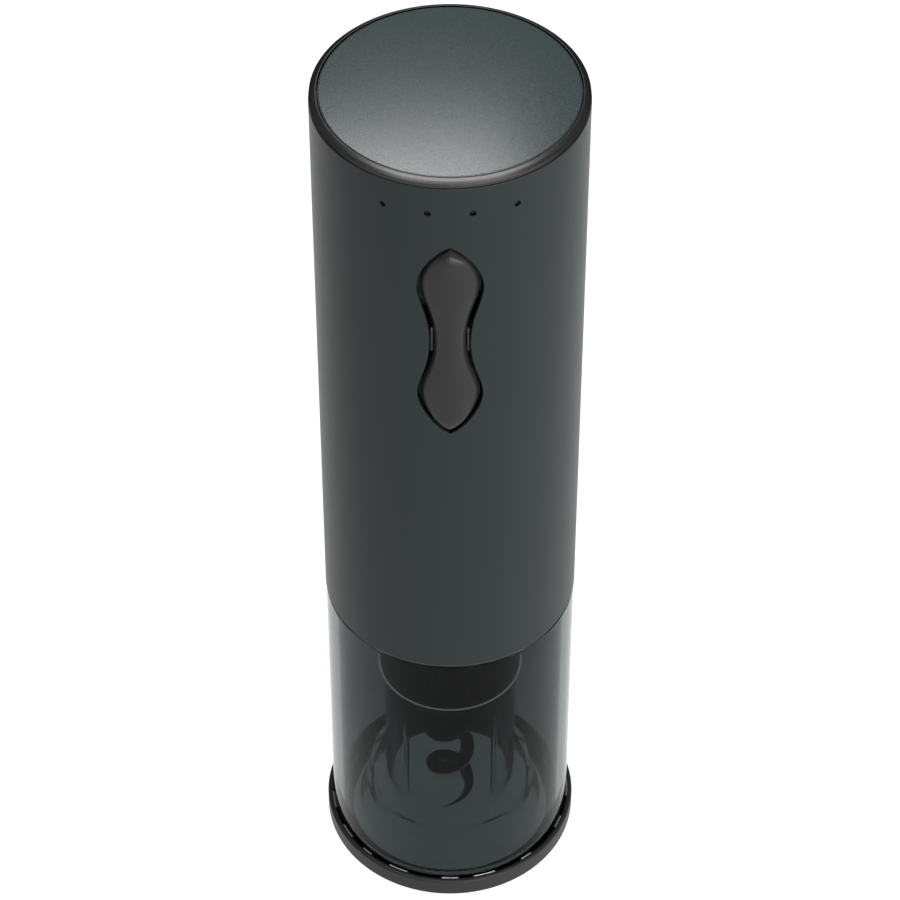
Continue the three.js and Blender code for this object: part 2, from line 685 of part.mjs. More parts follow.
// ---- assembly -----------------------------------------------------------------------------
const finishes = {
  anodised: { color: 0x3c4446, roughness: 0.42, metalness: 0.85 },
  disc: { color: 0x556062, roughness: 0.4, metalness: 0.85 },
  gloss_black: { color: 0x1b1b1b, roughness: 0.22, metalness: 0 },
  satin_black: { color: 0x2b2b2b, roughness: 0.5, metalness: 0 },
  smoke: { color: 0x2a3436, roughness: 0.06, metalness: 0, transparent: true, opacity: 0.45 },
  rubber: { color: 0x141414, roughness: 0.9, metalness: 0 },
  steel: { color: 0xb9bcc0, roughness: 0.25, metalness: 1 },
  zinc: { color: 0x9a9c9e, roughness: 0.4, metalness: 0.9 },
  frame_grey: { color: 0x4a4d50, roughness: 0.6, metalness: 0 },
  gear_white: { color: 0xe4e0d4, roughness: 0.45, metalness: 0 },
  brass: { color: 0xb08d4a, roughness: 0.35, metalness: 1 },
  board_green: { color: 0x1f5a38, roughness: 0.5, metalness: 0 },
  cell_blue: { color: 0x2a5a9a, roughness: 0.4, metalness: 0 },
  clear: { color: 0xe8eef0, roughness: 0.2, metalness: 0 },
  lead_red: { color: 0xb01818, roughness: 0.5, metalness: 0 },
  lead_black: { color: 0x161616, roughness: 0.5, metalness: 0 },
  ferrite: { color: 0x3a3a3c, roughness: 0.7, metalness: 0.2 },
};

const opener = new THREE.Group();

function add(name, geometry, finish) {
  const mesh = new THREE.Mesh(geometry, new THREE.MeshStandardMaterial(finishes[finish]));
  mesh.name = name;
  opener.add(mesh);
}

add("base_pad", basePad(), "rubber");
add("base_ring", baseRing(), "satin_black");
add("clear_sleeve", clearSleeve(), "smoke");
add("bottle_guide", bottleGuide(), "smoke");
add("sleeve_seal", sleeveSeal(), "rubber");
add("nose_housing", noseHousing(), "satin_black");
add("helix_sleeve", helixSleeve(), "gear_white");
add("thrust_washer", thrustWasher(), "steel");
add("drive_tube", driveTube(), "zinc");
add("worm", worm(), "steel");
add("worm_carriage", wormCarriage(), "zinc");
add("carriage_pin", carriagePin(), "steel");

add("ring_gear", ringGear(), "gear_white");
for (const { name, planets, finish } of STAGES)
  PLANET_ANGLES.forEach((angle, i) =>
    add(`${name}_planet_${i + 1}`, planet(angle, ...planets), finish),
  );
add("first_carrier", firstCarrier(), "zinc");
add("second_carrier", secondCarrier(), "zinc");
add("motor_pinion", motorPinion(), "brass");

add("motor_plate", motorPlate(), "zinc");
MOTOR_SCREW_ANGLES.forEach((angle, i) => add(`motor_screw_${i + 1}`, motorScrew(angle), "steel"));
add("motor_can", motorCan(), "zinc");
add("motor_magnet", motorMagnet(), "ferrite");
add("motor_rotor", motorRotor(), "steel");
add("motor_end_bell", motorEndBell(), "satin_black");

add("frame_front", frameFront(), "frame_grey");
add("frame_rear", frameRear(), "frame_grey");
SCREW_HEIGHTS.forEach((z, row) =>
  [-1, 1].forEach((side, column) =>
    add(`frame_screw_${2 * row + column + 1}`, frameScrew(side * SCREW_X, z), "steel"),
  ),
);

add("main_board", mainBoard(), "board_green");
LED_ANGLES.forEach((angle, i) => add(`charge_led_${i + 1}`, ledLamp(angle), "clear"));
add("light_guide", lightGuide(), "clear");
add("upper_switch", switchBase(1), "satin_black");
add("lower_switch", switchBase(-1), "satin_black");
add("upper_plunger", switchPlunger(1), "brass");
add("lower_plunger", switchPlunger(-1), "brass");
add("rocker_button", rockerButton(), "gloss_black");
add("rocker_pin", rockerPin(), "steel");
add("battery_cell", batteryCell(), "cell_blue");
add("charge_socket", chargeSocket(), "steel");

// Soft leads, each from its terminal to the back of the board.
const LEAD_R = 0.6;
const ON_BOARD = BOARD_BACK + LEAD_R + GAP;
const leads = [
  {
    name: "battery_lead_red",
    finish: "lead_red",
    places: [[0, 0.6, 184.3], [0, -3.5, 184.8], [-1.5, -7.5, 186.3], [-4, ON_BOARD, 186]],
  },
  {
    name: "battery_lead_black",
    finish: "lead_black",
    places: [[5.2, -4.9, 149.1], [6.5, -8.5, 152], [6.5, -12, 158], [5, ON_BOARD, 166]],
  },
  {
    name: "motor_lead_red",
    finish: "lead_red",
    places: [[-4, -6, 146.9], [-4, -6.2, 148.8], [-6, -11, 151.5], [-8, ON_BOARD, 158]],
  },
  {
    name: "motor_lead_black",
    finish: "lead_black",
    places: [[0, -7, 146.9], [0, -7.1, 148.8], [-1.5, -11, 151.5], [-3, ON_BOARD, 156]],
  },
];
leads.forEach(({ name, finish, places }) => add(name, wire(places, LEAD_R), finish));

const cablePlaces = [
  [0, 18, PORT_Z], [9, 15.5, 179], [15.4, 7, 180], [15.4, -6, 179], [10.5, -12, 178], [8, -14.5, 176],
];
add("charge_cable", wire(cablePlaces, 0.9, 12), "lead_black");

add("body_shell", bodyShell(), "anodised");
add("top_ring", topRing(), "gloss_black");
add("top_disc", topDisc(), "disc");

export default opener;
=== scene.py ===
"""Electric wine opener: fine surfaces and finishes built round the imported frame.

Lengths are millimetres unless a name ends in _m; meshes are written in metres. The frame is +Z up, with
the rocker button facing -Y. Outlines of turned pieces are (radius, height, edge rounding) corners.
"""

import math

import bmesh
import bpy
import numpy as np
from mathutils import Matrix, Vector


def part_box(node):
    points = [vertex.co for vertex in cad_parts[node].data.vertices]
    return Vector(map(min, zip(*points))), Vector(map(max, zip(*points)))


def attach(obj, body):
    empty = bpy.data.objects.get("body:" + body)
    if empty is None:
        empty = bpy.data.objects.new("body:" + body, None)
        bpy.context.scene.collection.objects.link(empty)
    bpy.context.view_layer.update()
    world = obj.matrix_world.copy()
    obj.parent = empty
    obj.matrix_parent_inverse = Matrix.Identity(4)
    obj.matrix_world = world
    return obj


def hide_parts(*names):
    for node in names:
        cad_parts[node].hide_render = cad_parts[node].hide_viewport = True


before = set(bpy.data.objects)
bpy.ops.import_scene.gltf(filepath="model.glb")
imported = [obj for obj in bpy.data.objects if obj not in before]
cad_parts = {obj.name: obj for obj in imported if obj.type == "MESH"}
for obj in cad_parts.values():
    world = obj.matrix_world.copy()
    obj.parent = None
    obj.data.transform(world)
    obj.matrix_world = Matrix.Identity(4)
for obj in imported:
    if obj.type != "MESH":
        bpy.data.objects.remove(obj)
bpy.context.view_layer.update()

MM = 0.001
FRONT = -math.pi / 2  # angle of -Y, counted from +X


def radius_of(node):
    """Outer radius of a turned node."""
    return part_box(node)[1].x / MM


def heights_of(node):
    """Lowest and highest z of a node."""
    low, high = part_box(node)
    return low.z / MM, high.z / MM


# ---- places taken from the frame ----------------------------------------------------------------
BODY_R = radius_of("body_shell")
BODY_BOTTOM, BODY_TOP = heights_of("body_shell")
SLEEVE_R = radius_of("clear_sleeve")
SLEEVE_BOTTOM, SLEEVE_TOP = heights_of("clear_sleeve")
BASE_R = radius_of("base_ring")
BASE_BOTTOM, BASE_TOP = heights_of("base_ring")
PAD_BOTTOM, PAD_TOP = heights_of("base_pad")
SEAL_BOTTOM, SEAL_TOP = heights_of("sleeve_seal")
GUIDE_BOTTOM, GUIDE_TOP = heights_of("bottle_guide")
NOSE_R = radius_of("nose_housing")
NOSE_BOTTOM, NOSE_TOP = heights_of("nose_housing")
RING_R = radius_of("top_ring")
RING_BOTTOM, RING_TOP = heights_of("top_ring")
DISC_R = radius_of("top_disc")
DISC_BOTTOM, DISC_TOP = heights_of("top_disc")
WORM_BOTTOM, WORM_TOP = heights_of("worm")
BUTTON_Z = sum(heights_of("rocker_pin")) / 2
PORT_Z = sum(heights_of("charge_socket")) / 2
LED_Z = sum(heights_of("charge_led_1")) / 2

# ---- sizes that the nodes' boxes don't give -----------------------------------------------------
BODY_WALL = 1.0
EDGE = 0.12  # rounding of every edge of the body tube
LED_ANGLES = (-28.0, -9.1, 9.1, 28.0)
LED_HOLE_R = 0.6
PORT_HALF_STRAIGHT = 3.0
PORT_HOLE_R = 1.9

BUTTON_HALF_LENGTH = 22.15
BUTTON_SHOULDER_Z = 20.9
BUTTON_LOBE = 5.8
BUTTON_LOBE_Z = 12.7
BUTTON_WAIST = 3.6
BUTTON_CLEARANCE = 0.55
BUTTON_PROUD = 0.85  # of the tube's surface, at the button's middle line
PIN_Y = -20.6
PIN_HOLE_R = 1.0

SLEEVE_WALL = 2.0
SLEEVE_NECK_R = 23.0
SLEEVE_NECK = 4.7  # height of the neck, which goes up into the body
SLEEVE_GAP = 0.14  # round the sleeve, in the foot ring's pocket
MOUTH_R = 20.2
CORK_R = 12.0
CORK_WALL = 1.2
LIP_STOP = 11.3  # height at which a bottle's lip comes to rest

WORM_PITCH = 10.5
WORM_RADIUS = 3.6
WORM_TIP_ANGLE = -105.0
WORM_SHANK_BOTTOM = 72.0
WIRE_R = 1.4


# ---- camera, floor and light --------------------------------------------------------------------
CAMERA_LENS = 139.716
CAMERA_PLACE_M = (0.0, -0.46165, 0.5719)
CAMERA_TILT = 44.6034  # degrees up from straight down

# Each lamp's place, the point it faces, its size (all in metres) and its power in watts.
LAMPS = {
    "cap_light": ((-0.010, 0.11, 0.32), (0.0, -0.02, 0.19), (0.05, 0.03), 0.053),
    "right_light": ((0.36, -0.48, 0.10), (0.0, 0.0, 0.09), (0.90, 0.18), 3.8),
    "top_light": ((0.0, -0.06, 0.72), (0.0, 0.0, 0.19), (0.60, 0.36), 5.8),
    "front_strip": ((0.28, -0.56, 0.15), (0.0, 0.0, 0.06), (0.70, 0.06), 3.5),
}


def make_camera():
    """The camera that frames the whole opener from in front and above."""
    data = bpy.data.cameras.new("camera")
    data.lens = CAMERA_LENS
    data.sensor_width = 36.0
    data.clip_start = 0.01
    data.clip_end = 20.0
    camera = bpy.data.objects.new("camera", data)
    camera.location = CAMERA_PLACE_M
    camera.rotation_euler = (math.radians(CAMERA_TILT), 0.0, 0.0)
    bpy.context.scene.collection.objects.link(camera)
    bpy.context.scene.camera = camera


def make_lamp(name, place_m, aim_m, size_m, power):
    """A rectangular lamp that lights and is mirrored, but isn't seen itself, even through clear plastic."""
    data = bpy.data.lights.new(name, "AREA")
    data.shape = "RECTANGLE"
    data.size, data.size_y = size_m
    data.energy = power
    lamp = bpy.data.objects.new(name, data)
    lamp.location = place_m
    lamp.rotation_euler = (Vector(aim_m) - Vector(place_m)).to_track_quat("-Z", "Y").to_euler()
    lamp.visible_camera = False
    lamp.visible_transmission = False
    bpy.context.scene.collection.objects.link(lamp)


def make_floor():
    """A pale floor with some light of its own, like a lit table."""
    half_m, level_m = 3.0, -0.0001
    mesh = bpy.data.meshes.new("floor")
    corners = [(x * half_m, y * half_m, level_m) for x, y in ((-1, -1), (1, -1), (1, 1), (-1, 1))]
    mesh.from_pydata(corners, [], [(0, 1, 2, 3)])
    floor = bpy.data.objects.new("floor", mesh)
    bpy.context.scene.collection.objects.link(floor)
    material, _, _ = new_material(
        "floor", (0.15, 0.15, 0.15), 0.9, Specular_IOR_Level=0.0,
        Emission_Color=(1.0, 1.0, 1.0, 1.0), Emission_Strength=0.97,
    )
    mesh.materials.append(material)


def make_world():
    """A weak even light from all round, and plain colours in the picture."""
    world = bpy.data.worlds.new("studio")
    world.use_nodes = True
    background = world.node_tree.nodes["Background"]
    background.inputs["Color"].default_value = (1.0, 1.0, 1.0, 1.0)
    background.inputs["Strength"].default_value = 0.3
    bpy.context.scene.world = world
    bpy.context.scene.view_settings.view_transform = "Standard"


# ---- mesh tools ---------------------------------------------------------------------------------
SHARP = math.radians(38)  # an edge that turns more than this shades as an edge
NEARLY_STRAIGHT = math.radians(88)  # half of a corner's angle, from which it isn't rounded
ARC_STEPS = 4
ARC_SHARE = 0.45  # of a side, the most that the arc at one of its ends takes up
SUPPORT = 0.12  # distance of the extra points from the ends of a long side
LONG_SIDE = 5 * SUPPORT
LONGEST_SPAN = 6.0  # a longer side is divided into spans
ON_AXIS = 1e-6


def to_object(bm, name):
    """Writes a mesh given in millimetres as an object, smooth except at sharp edges."""
    bmesh.ops.recalc_face_normals(bm, faces=bm.faces)
    bmesh.ops.scale(bm, vec=(MM, MM, MM), verts=bm.verts)
    for face in bm.faces:
        face.smooth = True
    for edge in bm.edges:
        edge.smooth = len(edge.link_faces) == 2 and edge.calc_face_angle(0.0) < SHARP
    mesh = bpy.data.meshes.new(name)
    bm.to_mesh(mesh)
    bm.free()
    made = bpy.data.objects.new(name, mesh)
    bpy.context.scene.collection.objects.link(made)
    return made


def rounded(corners):
    """The closed outline through (r, z, rounding) corners, with each corner turned into an arc."""
    points = []
    count = len(corners)
    for i, (r, z, rounding) in enumerate(corners):
        corner = Vector((r, z))
        before = Vector(corners[i - 1][:2]) - corner
        after = Vector(corners[(i + 1) % count][:2]) - corner
        half = before.angle(after) / 2
        if rounding <= 0 or half > NEARLY_STRAIGHT:
            points.append((r, z))
            continue
        reach = min(rounding / math.tan(half), ARC_SHARE * before.length, ARC_SHARE * after.length)
        radius = reach * math.tan(half)
        inward = (before.normalized() + after.normalized()).normalized()
        centre = corner + inward * (radius / math.sin(half))
        start = corner + before.normalized() * reach - centre
        end = corner + after.normalized() * reach - centre
        turned = start.angle_signed(end)
        for step in range(ARC_STEPS + 1):
            angle = -turned * step / ARC_STEPS
            cos, sin = math.cos(angle), math.sin(angle)
            points.append((
                centre.x + start.x * cos - start.y * sin,
                centre.y + start.x * sin + start.y * cos,
            ))
    return points


def supported(points):
    """The outline with a point close to each end of its long sides, so that they shade flat."""
    out = []
    for i, point in enumerate(points):
        start, end = Vector(point), Vector(points[(i + 1) % len(points)])
        length = (end - start).length
        out.append(point)
        if length < LONG_SIDE:
            continue
        spans = max(1, math.ceil(length / LONGEST_SPAN))
        near = SUPPORT / length
        shares = [near] + [k / spans for k in range(1, spans)] + [1 - near]
        out += [tuple(start.lerp(end, share)) for share in shares]
    return out


def turned_mesh(outline, segments):
    """A solid of revolution about Z. Points on the axis become one vertex."""
    bm = bmesh.new()
    angles = [2 * math.pi * k / segments for k in range(segments)]
    rings = []
    for r, z in outline:
        if r < ON_AXIS:
            rings.append([bm.verts.new((0.0, 0.0, z))] * segments)
        else:
            rings.append([bm.verts.new((r * math.cos(a), r * math.sin(a), z)) for a in angles])
    for i, ring in enumerate(rings):
        other = rings[(i + 1) % len(rings)]
        for k in range(segments):
            after = (k + 1) % segments
            corners = list(dict.fromkeys([ring[k], ring[after], other[after], other[k]]))
            if len(corners) > 2:
                bm.faces.new(corners)
    return bm


def turn(name, corners, segments=192):
    """A turned object with the outline through (r, z, rounding) corners."""
    return to_object(turned_mesh(supported(rounded(corners)), segments), name)


def bevelled_box(name, low, high, rounding, segments=3):
    """A box between two corners, with all its edges rounded."""
    bm = bmesh.new()
    bmesh.ops.create_cube(bm, size=1.0)
    size = [b - a for a, b in zip(low, high)]
    middle = [(a + b) / 2 for a, b in zip(low, high)]
    bmesh.ops.scale(bm, vec=size, verts=bm.verts)
    bmesh.ops.translate(bm, vec=middle, verts=bm.verts)
    bmesh.ops.bevel(
        bm, geom=list(bm.edges), offset=rounding, segments=segments, profile=0.5, affect="EDGES"
    )
    return to_object(bm, name)


def combine(target, tools, operation):
    """Joins the tools to the target or cuts them from it, and removes them."""
    bpy.context.view_layer.update()
    for tool in tools:
        step = target.modifiers.new("combine", "BOOLEAN")
        step.operation = operation
        step.solver = "EXACT"
        step.object = tool
    evaluated = target.evaluated_get(bpy.context.evaluated_depsgraph_get())
    mesh = bpy.data.meshes.new_from_object(evaluated)
    target.modifiers.clear()
    target.data = mesh
    for tool in tools:
        bpy.data.objects.remove(tool)
    return target


def bridge(bm, first, second, closed=True):
    """Quads between two loops of the same length."""
    count = len(first)
    for i in range(count if closed else count - 1):
        after = (i + 1) % count
        bm.faces.new((first[i], first[after], second[after], second[i]))


def bridge_all(bm, loops):
    """Quads between each loop and the next one."""
    for first, second in zip(loops, loops[1:]):
        bridge(bm, first, second)


def close_ends(bm, loops):
    """One face over the first loop and one over the last."""
    bm.faces.new(loops[0])
    bm.faces.new(loops[-1])


# ---- outlines of the openings -------------------------------------------------------------------
def bezier(start, first, second, end, steps):
    """Points along a cubic curve, without its end point."""
    points = []
    for i in range(steps):
        t = i / steps
        u = 1 - t
        points.append([
            u**3 * a + 3 * u * u * t * b + 3 * u * t * t * c + t**3 * d
            for a, b, c, d in zip(start, first, second, end)
        ])
    return points


def hourglass(inset):
    """The rocker's outline in x and z about its middle, counter-clockwise, `inset` smaller all round."""
    steps = 90
    waist_inset = 1.6  # of the inset: the gap is wider at the waist, where the pivot lugs stand in it
    lobe = BUTTON_LOBE - inset
    waist = BUTTON_WAIST - inset * waist_inset
    end = BUTTON_HALF_LENGTH - inset
    shoulder = BUTTON_SHOULDER_Z - inset
    above_waist, below_lobe, above_lobe, beside_tip = 6.5, 9, 16.5, 2.6  # handles of the curves
    quarter = bezier((waist, 0), (waist, above_waist), (lobe, below_lobe), (lobe, BUTTON_LOBE_Z), steps)
    quarter += bezier((lobe, BUTTON_LOBE_Z), (lobe, above_lobe), (beside_tip, shoulder), (0, end), steps)
    upper = quarter + [(0, end)] + [(-x, z) for x, z in reversed(quarter[1:])]
    lower = [(-x, -z) for x, z in upper]
    return np.array(upper + lower, float)


def stadium(half_straight, radius):
    """A slot with round ends, counter-clockwise from the bottom of its right end."""
    steps = 24
    right = [-math.pi / 2 + math.pi * i / steps for i in range(steps + 1)]
    ends = [(half_straight + radius * math.cos(a), radius * math.sin(a)) for a in right]
    ends += [(-x, -z) for x, z in ends]
    return np.array(ends, float)


def circle(radius):
    """A round hole, counter-clockwise."""
    steps = 48
    angles = [2 * math.pi * i / steps for i in range(steps)]
    return np.array([(radius * math.cos(a), radius * math.sin(a)) for a in angles], float)


# ---- the tube with its openings -----------------------------------------------------------------
COLUMNS = 288
COLUMN_STEP = 2 * math.pi / COLUMNS
TUBE_BORE = BODY_R - BODY_WALL
PATCH_SHARES = (0.25, 0.5, 0.72, 0.88, 0.96, 1.0)  # rings of a patch, from its border to its opening
EDGE_ANGLES = [math.pi / 8 * k for k in (1, 2, 3, 4)]  # along a rounded edge, without its start


class Opening:
    """A hole through the tube: its angle from the front in degrees, its height and its outline."""

    def __init__(self, angle, height, outline, margin_columns, margin):
        self.angle = math.radians(angle)
        self.height = height
        self.arc = np.column_stack((BODY_R * np.arcsin(outline[:, 0] / BODY_R), outline[:, 1]))
        half_arc = np.abs(self.arc[:, 0]).max() / BODY_R
        self.first_column = math.floor((self.angle - half_arc) / COLUMN_STEP) - margin_columns
        self.last_column = math.ceil((self.angle + half_arc) / COLUMN_STEP) + margin_columns
        self.low = height + self.arc[:, 1].min() - margin
        self.high = height + self.arc[:, 1].max() + margin

    def rows(self, levels):
        """First and last of the levels, the nearest ones outside the hole's margin."""
        first = max(i for i, z in enumerate(levels) if z <= self.low)
        last = min(i for i, z in enumerate(levels) if z >= self.high)
        return first, last

    def border(self, levels):
        """The (column, row) points of the grid round the hole's patch, counter-clockwise."""
        low, high = self.rows(levels)
        left, right = self.first_column, self.last_column
        border = [(column, low) for column in range(left, right)]
        border += [(right, row) for row in range(low, high)]
        border += [(column, high) for column in range(right, left, -1)]
        border += [(left, row) for row in range(high, low, -1)]
        return border

    def rim(self, directions):
        """Points of the outline, in arc length and height about its middle, in these directions."""
        angles = np.unwrap(np.arctan2(self.arc[:, 1], self.arc[:, 0]))
        start = angles[0]
        order = np.argsort(angles)
        wrapped = (directions - start) % (2 * math.pi) + start
        around = np.append(angles[order], angles[order][0] + 2 * math.pi)
        arc = np.append(self.arc[order, 0], self.arc[order, 0][0])
        high = np.append(self.arc[order, 1], self.arc[order, 1][0])
        return np.column_stack((np.interp(wrapped, around, arc), np.interp(wrapped, around, high)))


def on_tube(radius, angle, z):
    """A point of the tube, its angle counted from the front towards +X."""
    return radius * math.sin(angle), -radius * math.cos(angle), z


def outward_of(rim):
    """Unit vectors pointing away from a counter-clockwise rim."""
    along = np.roll(rim, -1, axis=0) - np.roll(rim, 1, axis=0)
    out = np.column_stack((along[:, 1], -along[:, 0]))
    return out / np.linalg.norm(out, axis=1)[:, None]


def tube_levels():
    """Heights of the grid on both faces of the tube: close together beside the front openings."""
    coarse_step, fine_step, end_gap, join_gap = 5.0, 0.8, 0.3, 1.0
    below_button, above_leds = 4, 2.2
    fine_from = BUTTON_Z - BUTTON_HALF_LENGTH - below_button
    fine_to = LED_Z + above_leds
    below = np.arange(BODY_BOTTOM + EDGE + end_gap, fine_from - join_gap, coarse_step).tolist()
    fine = np.arange(fine_from, fine_to, fine_step).tolist()
    above = np.linspace(fine[-1] + join_gap, BODY_TOP - EDGE - end_gap, 3).tolist()
    return [BODY_BOTTOM + EDGE] + below + fine + above + [BODY_TOP - EDGE]


def edge_arc(centre_r, centre_z, start):
    """Points along a quarter circle that starts at the angle `start`, without its first point."""
    angles = [start + angle for angle in EDGE_ANGLES]
    return [(centre_r + EDGE * math.cos(a), centre_z + EDGE * math.sin(a)) for a in angles]


def tube_rows(levels):
    """The tube's closed section as (radius, height) rows, and the number of its first inner row."""
    rows = [(BODY_R, z) for z in levels]
    rows += edge_arc(BODY_R - EDGE, BODY_TOP - EDGE, 0)
    rows += [(TUBE_BORE + EDGE, BODY_TOP)]
    rows += edge_arc(TUBE_BORE + EDGE, BODY_TOP - EDGE, math.pi / 2)[:-1]
    inner_start = len(rows)
    rows += [(TUBE_BORE, z) for z in reversed(levels)]
    rows += edge_arc(TUBE_BORE + EDGE, BODY_BOTTOM + EDGE, math.pi)
    rows += [(BODY_R - EDGE, BODY_BOTTOM)]
    rows += edge_arc(BODY_R - EDGE, BODY_BOTTOM + EDGE, 3 * math.pi / 2)[:-1]
    return rows, inner_start


class Tube:
    """The tube as a grid on its two faces, with a ring-shaped patch of the grid round each opening."""

    def __init__(self):
        self.bm = bmesh.new()
        self.levels = tube_levels()
        self.rows, self.inner_start = tube_rows(self.levels)
        self.vertices = {}

    def vertex(self, column, row):
        """The grid's vertex at a column and a row, made when it is first asked for."""
        key = (column % COLUMNS, row)
        if key not in self.vertices:
            r, z = self.rows[row]
            self.vertices[key] = self.bm.verts.new(on_tube(r, key[0] * COLUMN_STEP, z))
        return self.vertices[key]

    def inner_row(self, row):
        """The row of the inner face at the height of a row of the outer face."""
        return self.inner_start + len(self.levels) - 1 - row

    def cells_of(self, openings):
        """The cells of both faces that patches take the place of."""
        cells = set()
        for opening in openings:
            first_row, last_row = opening.rows(self.levels)
            for column in range(opening.first_column, opening.last_column):
                for row in range(first_row, last_row):
                    cells.add((column % COLUMNS, row))
                    cells.add((column % COLUMNS, self.inner_row(row + 1)))
        return cells

    def fill(self, missing):
        """A face for each cell of the grid that isn't missing."""
        for column in range(COLUMNS):
            for row in range(len(self.rows)):
                if (column, row) in missing:
                    continue
                after = (row + 1) % len(self.rows)
                self.bm.faces.new((self.vertex(column, row), self.vertex(column + 1, row),
                                   self.vertex(column + 1, after), self.vertex(column, after)))

    def ring(self, opening, radius, points):
        """Vertices on the tube at points given in arc length and height about an opening's middle."""
        return [
            self.bm.verts.new(on_tube(radius, opening.angle + arc / BODY_R, opening.height + z))
            for arc, z in points
        ]

    def bore_ring(self, opening, rim):
        """The rim's vertices on the bore, straight behind those on the outside."""
        ring = []
        for arc, z in rim:
            across = BODY_R * math.sin(arc / BODY_R)
            angle = opening.angle + math.asin(across / TUBE_BORE)
            ring.append(self.bm.verts.new(on_tube(TUBE_BORE, angle, opening.height + z)))
        return ring

    def patch(self, opening):
        """Rings from the grid to the opening's rounded edge, through the wall and back to the grid."""
        border = opening.border(self.levels)
        flat = np.array([
            ((column * COLUMN_STEP - opening.angle) * BODY_R, self.levels[row] - opening.height)
            for column, row in border
        ])
        rim = opening.rim(np.arctan2(flat[:, 1], flat[:, 0]))
        away = outward_of(rim)
        shoulder = rim + away * EDGE
        loops = [[self.vertex(column, row) for column, row in border]]
        for share in PATCH_SHARES:
            loops.append(self.ring(opening, BODY_R, flat + (shoulder - flat) * share))
        for angle in EDGE_ANGLES:
            depth = EDGE * (1 - math.cos(angle))
            loops.append(self.ring(opening, BODY_R - depth, rim + away * EDGE * (1 - math.sin(angle))))
        inside = [self.vertex(column, self.inner_row(row)) for column, row in border]
        loops.append(self.bore_ring(opening, rim))
        bridge_all(self.bm, loops + [inside])


def body_tube():
    """The body's tube with the rocker's opening, the charging port's and one for each lamp."""
    openings = [
        Opening(0.0, BUTTON_Z, hourglass(0.0), margin_columns=3, margin=2.2),
        Opening(180.0, PORT_Z, stadium(PORT_HALF_STRAIGHT, PORT_HOLE_R), margin_columns=2, margin=1.2),
    ]
    for angle in LED_ANGLES:
        openings.append(Opening(angle, LED_Z, circle(LED_HOLE_R), margin_columns=1, margin=0.7))
    tube = Tube()
    tube.fill(tube.cells_of(openings))
    for opening in openings:
        tube.patch(opening)
    return to_object(tube.bm, "body_tube")


# ---- turned pieces ------------------------------------------------------------------------------
def foot_ring():
    """The ring that it stands on: a pocket for the sleeve above, a groove for the pad below."""
    groove_in, groove_out, groove_top = 20.7, 23.2, 1.1
    seat = 2.2
    pocket = SLEEVE_R + SLEEVE_GAP
    return turn("foot_ring", [
        (MOUTH_R, BASE_BOTTOM, 0.15), (groove_in, BASE_BOTTOM, 0.1), (groove_in, groove_top, 0.1),
        (groove_out, groove_top, 0.1), (groove_out, BASE_BOTTOM, 0.1), (BASE_R, BASE_BOTTOM, 0.35),
        (BASE_R, BASE_TOP, 0.45), (pocket, BASE_TOP, 0.2), (pocket, seat, 0.1), (MOUTH_R, seat, 0.15),
    ], segments=256)


def foot_pad():
    """The rubber ring under the foot ring, with a shallow channel along its middle."""
    inner, outer = 20.9, 23.0
    tread, slope, channel = 0.6, 0.2, PAD_BOTTOM + 0.18
    return turn("foot_pad", [
        (inner, PAD_BOTTOM, 0.2), (inner + tread, PAD_BOTTOM, 0.1),
        (inner + tread + slope, channel, 0.1), (outer - tread - slope, channel, 0.1),
        (outer - tread, PAD_BOTTOM, 0.1), (outer, PAD_BOTTOM, 0.2),
        (outer, PAD_TOP, 0.1), (inner, PAD_TOP, 0.1),
    ])


def chamber_sleeve():
    """The clear tube round the chamber, narrower where it goes up into the body."""
    inner = SLEEVE_R - SLEEVE_WALL
    step_z = SLEEVE_TOP - SLEEVE_NECK
    return turn("chamber_sleeve", [
        (inner, SLEEVE_BOTTOM, 0.15), (SLEEVE_R, SLEEVE_BOTTOM, 0.2), (SLEEVE_R, step_z, 0.15),
        (SLEEVE_NECK_R, step_z, 0.1), (SLEEVE_NECK_R, SLEEVE_TOP, 0.15), (inner, SLEEVE_TOP, 0.15),
    ], segments=256)


def seal_ring():
    """The dark ring in the seam between the sleeve and the body."""
    inner, outer = 23.1, 24.05
    return turn("seal_ring", [
        (inner, SEAL_BOTTOM, 0.1), (outer, SEAL_BOTTOM, 0.12),
        (outer, SEAL_TOP, 0.12), (inner, SEAL_TOP, 0.1),
    ])


def guide_rib(angle):
    """One of the ribs that stand a little into the cork tube's bore."""
    half_width, proud, root = 0.4, 0.6, 0.4
    low = (CORK_R - proud, -half_width, 14.0)
    high = (CORK_R + root, half_width, 44.0)
    rib = bevelled_box(f"rib_{angle}", low, high, 0.18)
    rib.rotation_euler = (0.0, 0.0, math.radians(angle))
    return rib


def cork_guide():
    """The clear moulding: flange, bell, step and cork tube, with four ribs along the tube's bore."""
    tube_r = CORK_R + CORK_WALL
    lip_r, lip_bottom, mouth_r = 15.9, 8.0, 17.6
    flange_r, flange_top, flare_r = 21.85, 3.9, 18.9
    bell_r, bell_bottom, bell_top = 17.3, 9.0, 12.0
    step_r, step_z = 16.5, 12.8
    shell = turn("cork_guide", [
        (CORK_R, LIP_STOP, 0.25), (lip_r, LIP_STOP, 0.2), (lip_r, lip_bottom, 0.3),
        (mouth_r, GUIDE_BOTTOM, 0.2), (flange_r, GUIDE_BOTTOM, 0.2), (flange_r, flange_top, 0.2),
        (flare_r, flange_top, 0.5), (bell_r, bell_bottom, 0.8), (bell_r, bell_top, 0.4),
        (step_r, step_z, 0.4), (tube_r, step_z, 0.5), (tube_r, GUIDE_TOP, 0.2), (CORK_R, GUIDE_TOP, 0.2),
    ], segments=240)
    return combine(shell, [guide_rib(angle) for angle in (45, 135, 225, 315)], "UNION")


